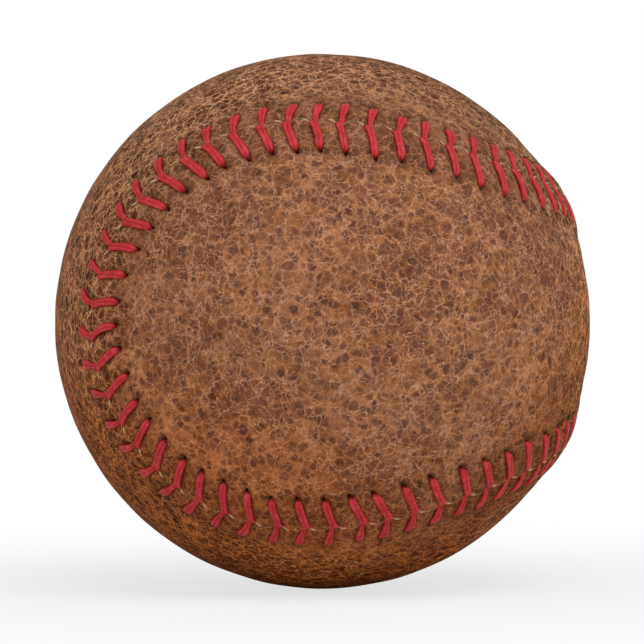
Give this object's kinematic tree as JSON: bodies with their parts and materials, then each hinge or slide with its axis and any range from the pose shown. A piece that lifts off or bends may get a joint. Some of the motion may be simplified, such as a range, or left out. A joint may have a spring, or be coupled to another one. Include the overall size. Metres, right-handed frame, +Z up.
{
  "type": "baseball",
  "caption": "Hard ball with a rubber and cork centre, wound yarn and two figure-of-eight leather panels laced along a raised seam.",
  "frame": {"origin": "centre of the ball", "axes": "+X through the neck of the front panel, -Y through the front panel's lobe that faces the picture's camera, +Z up through a lobe of the back panel"},
  "size_m": [0.0738, 0.0738, 0.0738],
  "materials": {
    "cork": "matt composition of cork and rubber",
    "black_rubber": "moulded, matt",
    "red_rubber": "moulded, matt",
    "grey_yarn": "wool yarn",
    "white_yarn": "wool, and cotton and polyester finishing yarn",
    "leather": "brown grained leather with a worn, veined surface",
    "red_thread": "waxed cotton thread"
  },
  "bodies": {
    "root": {"cork_core": "cork", "rubber_shell_upper": "black_rubber", "rubber_shell_lower": "black_rubber", "rubber_washer": "red_rubber", "rubber_cover_upper": "red_rubber", "rubber_cover_lower": "red_rubber", "winding_first": "grey_yarn", "winding_second": "white_yarn", "winding_third": "grey_yarn", "winding_finish": "white_yarn", "cover_panel_front": "leather", "cover_panel_back": "leather", "lacing_thread": "red_thread"}
  },
  "joints": []
}
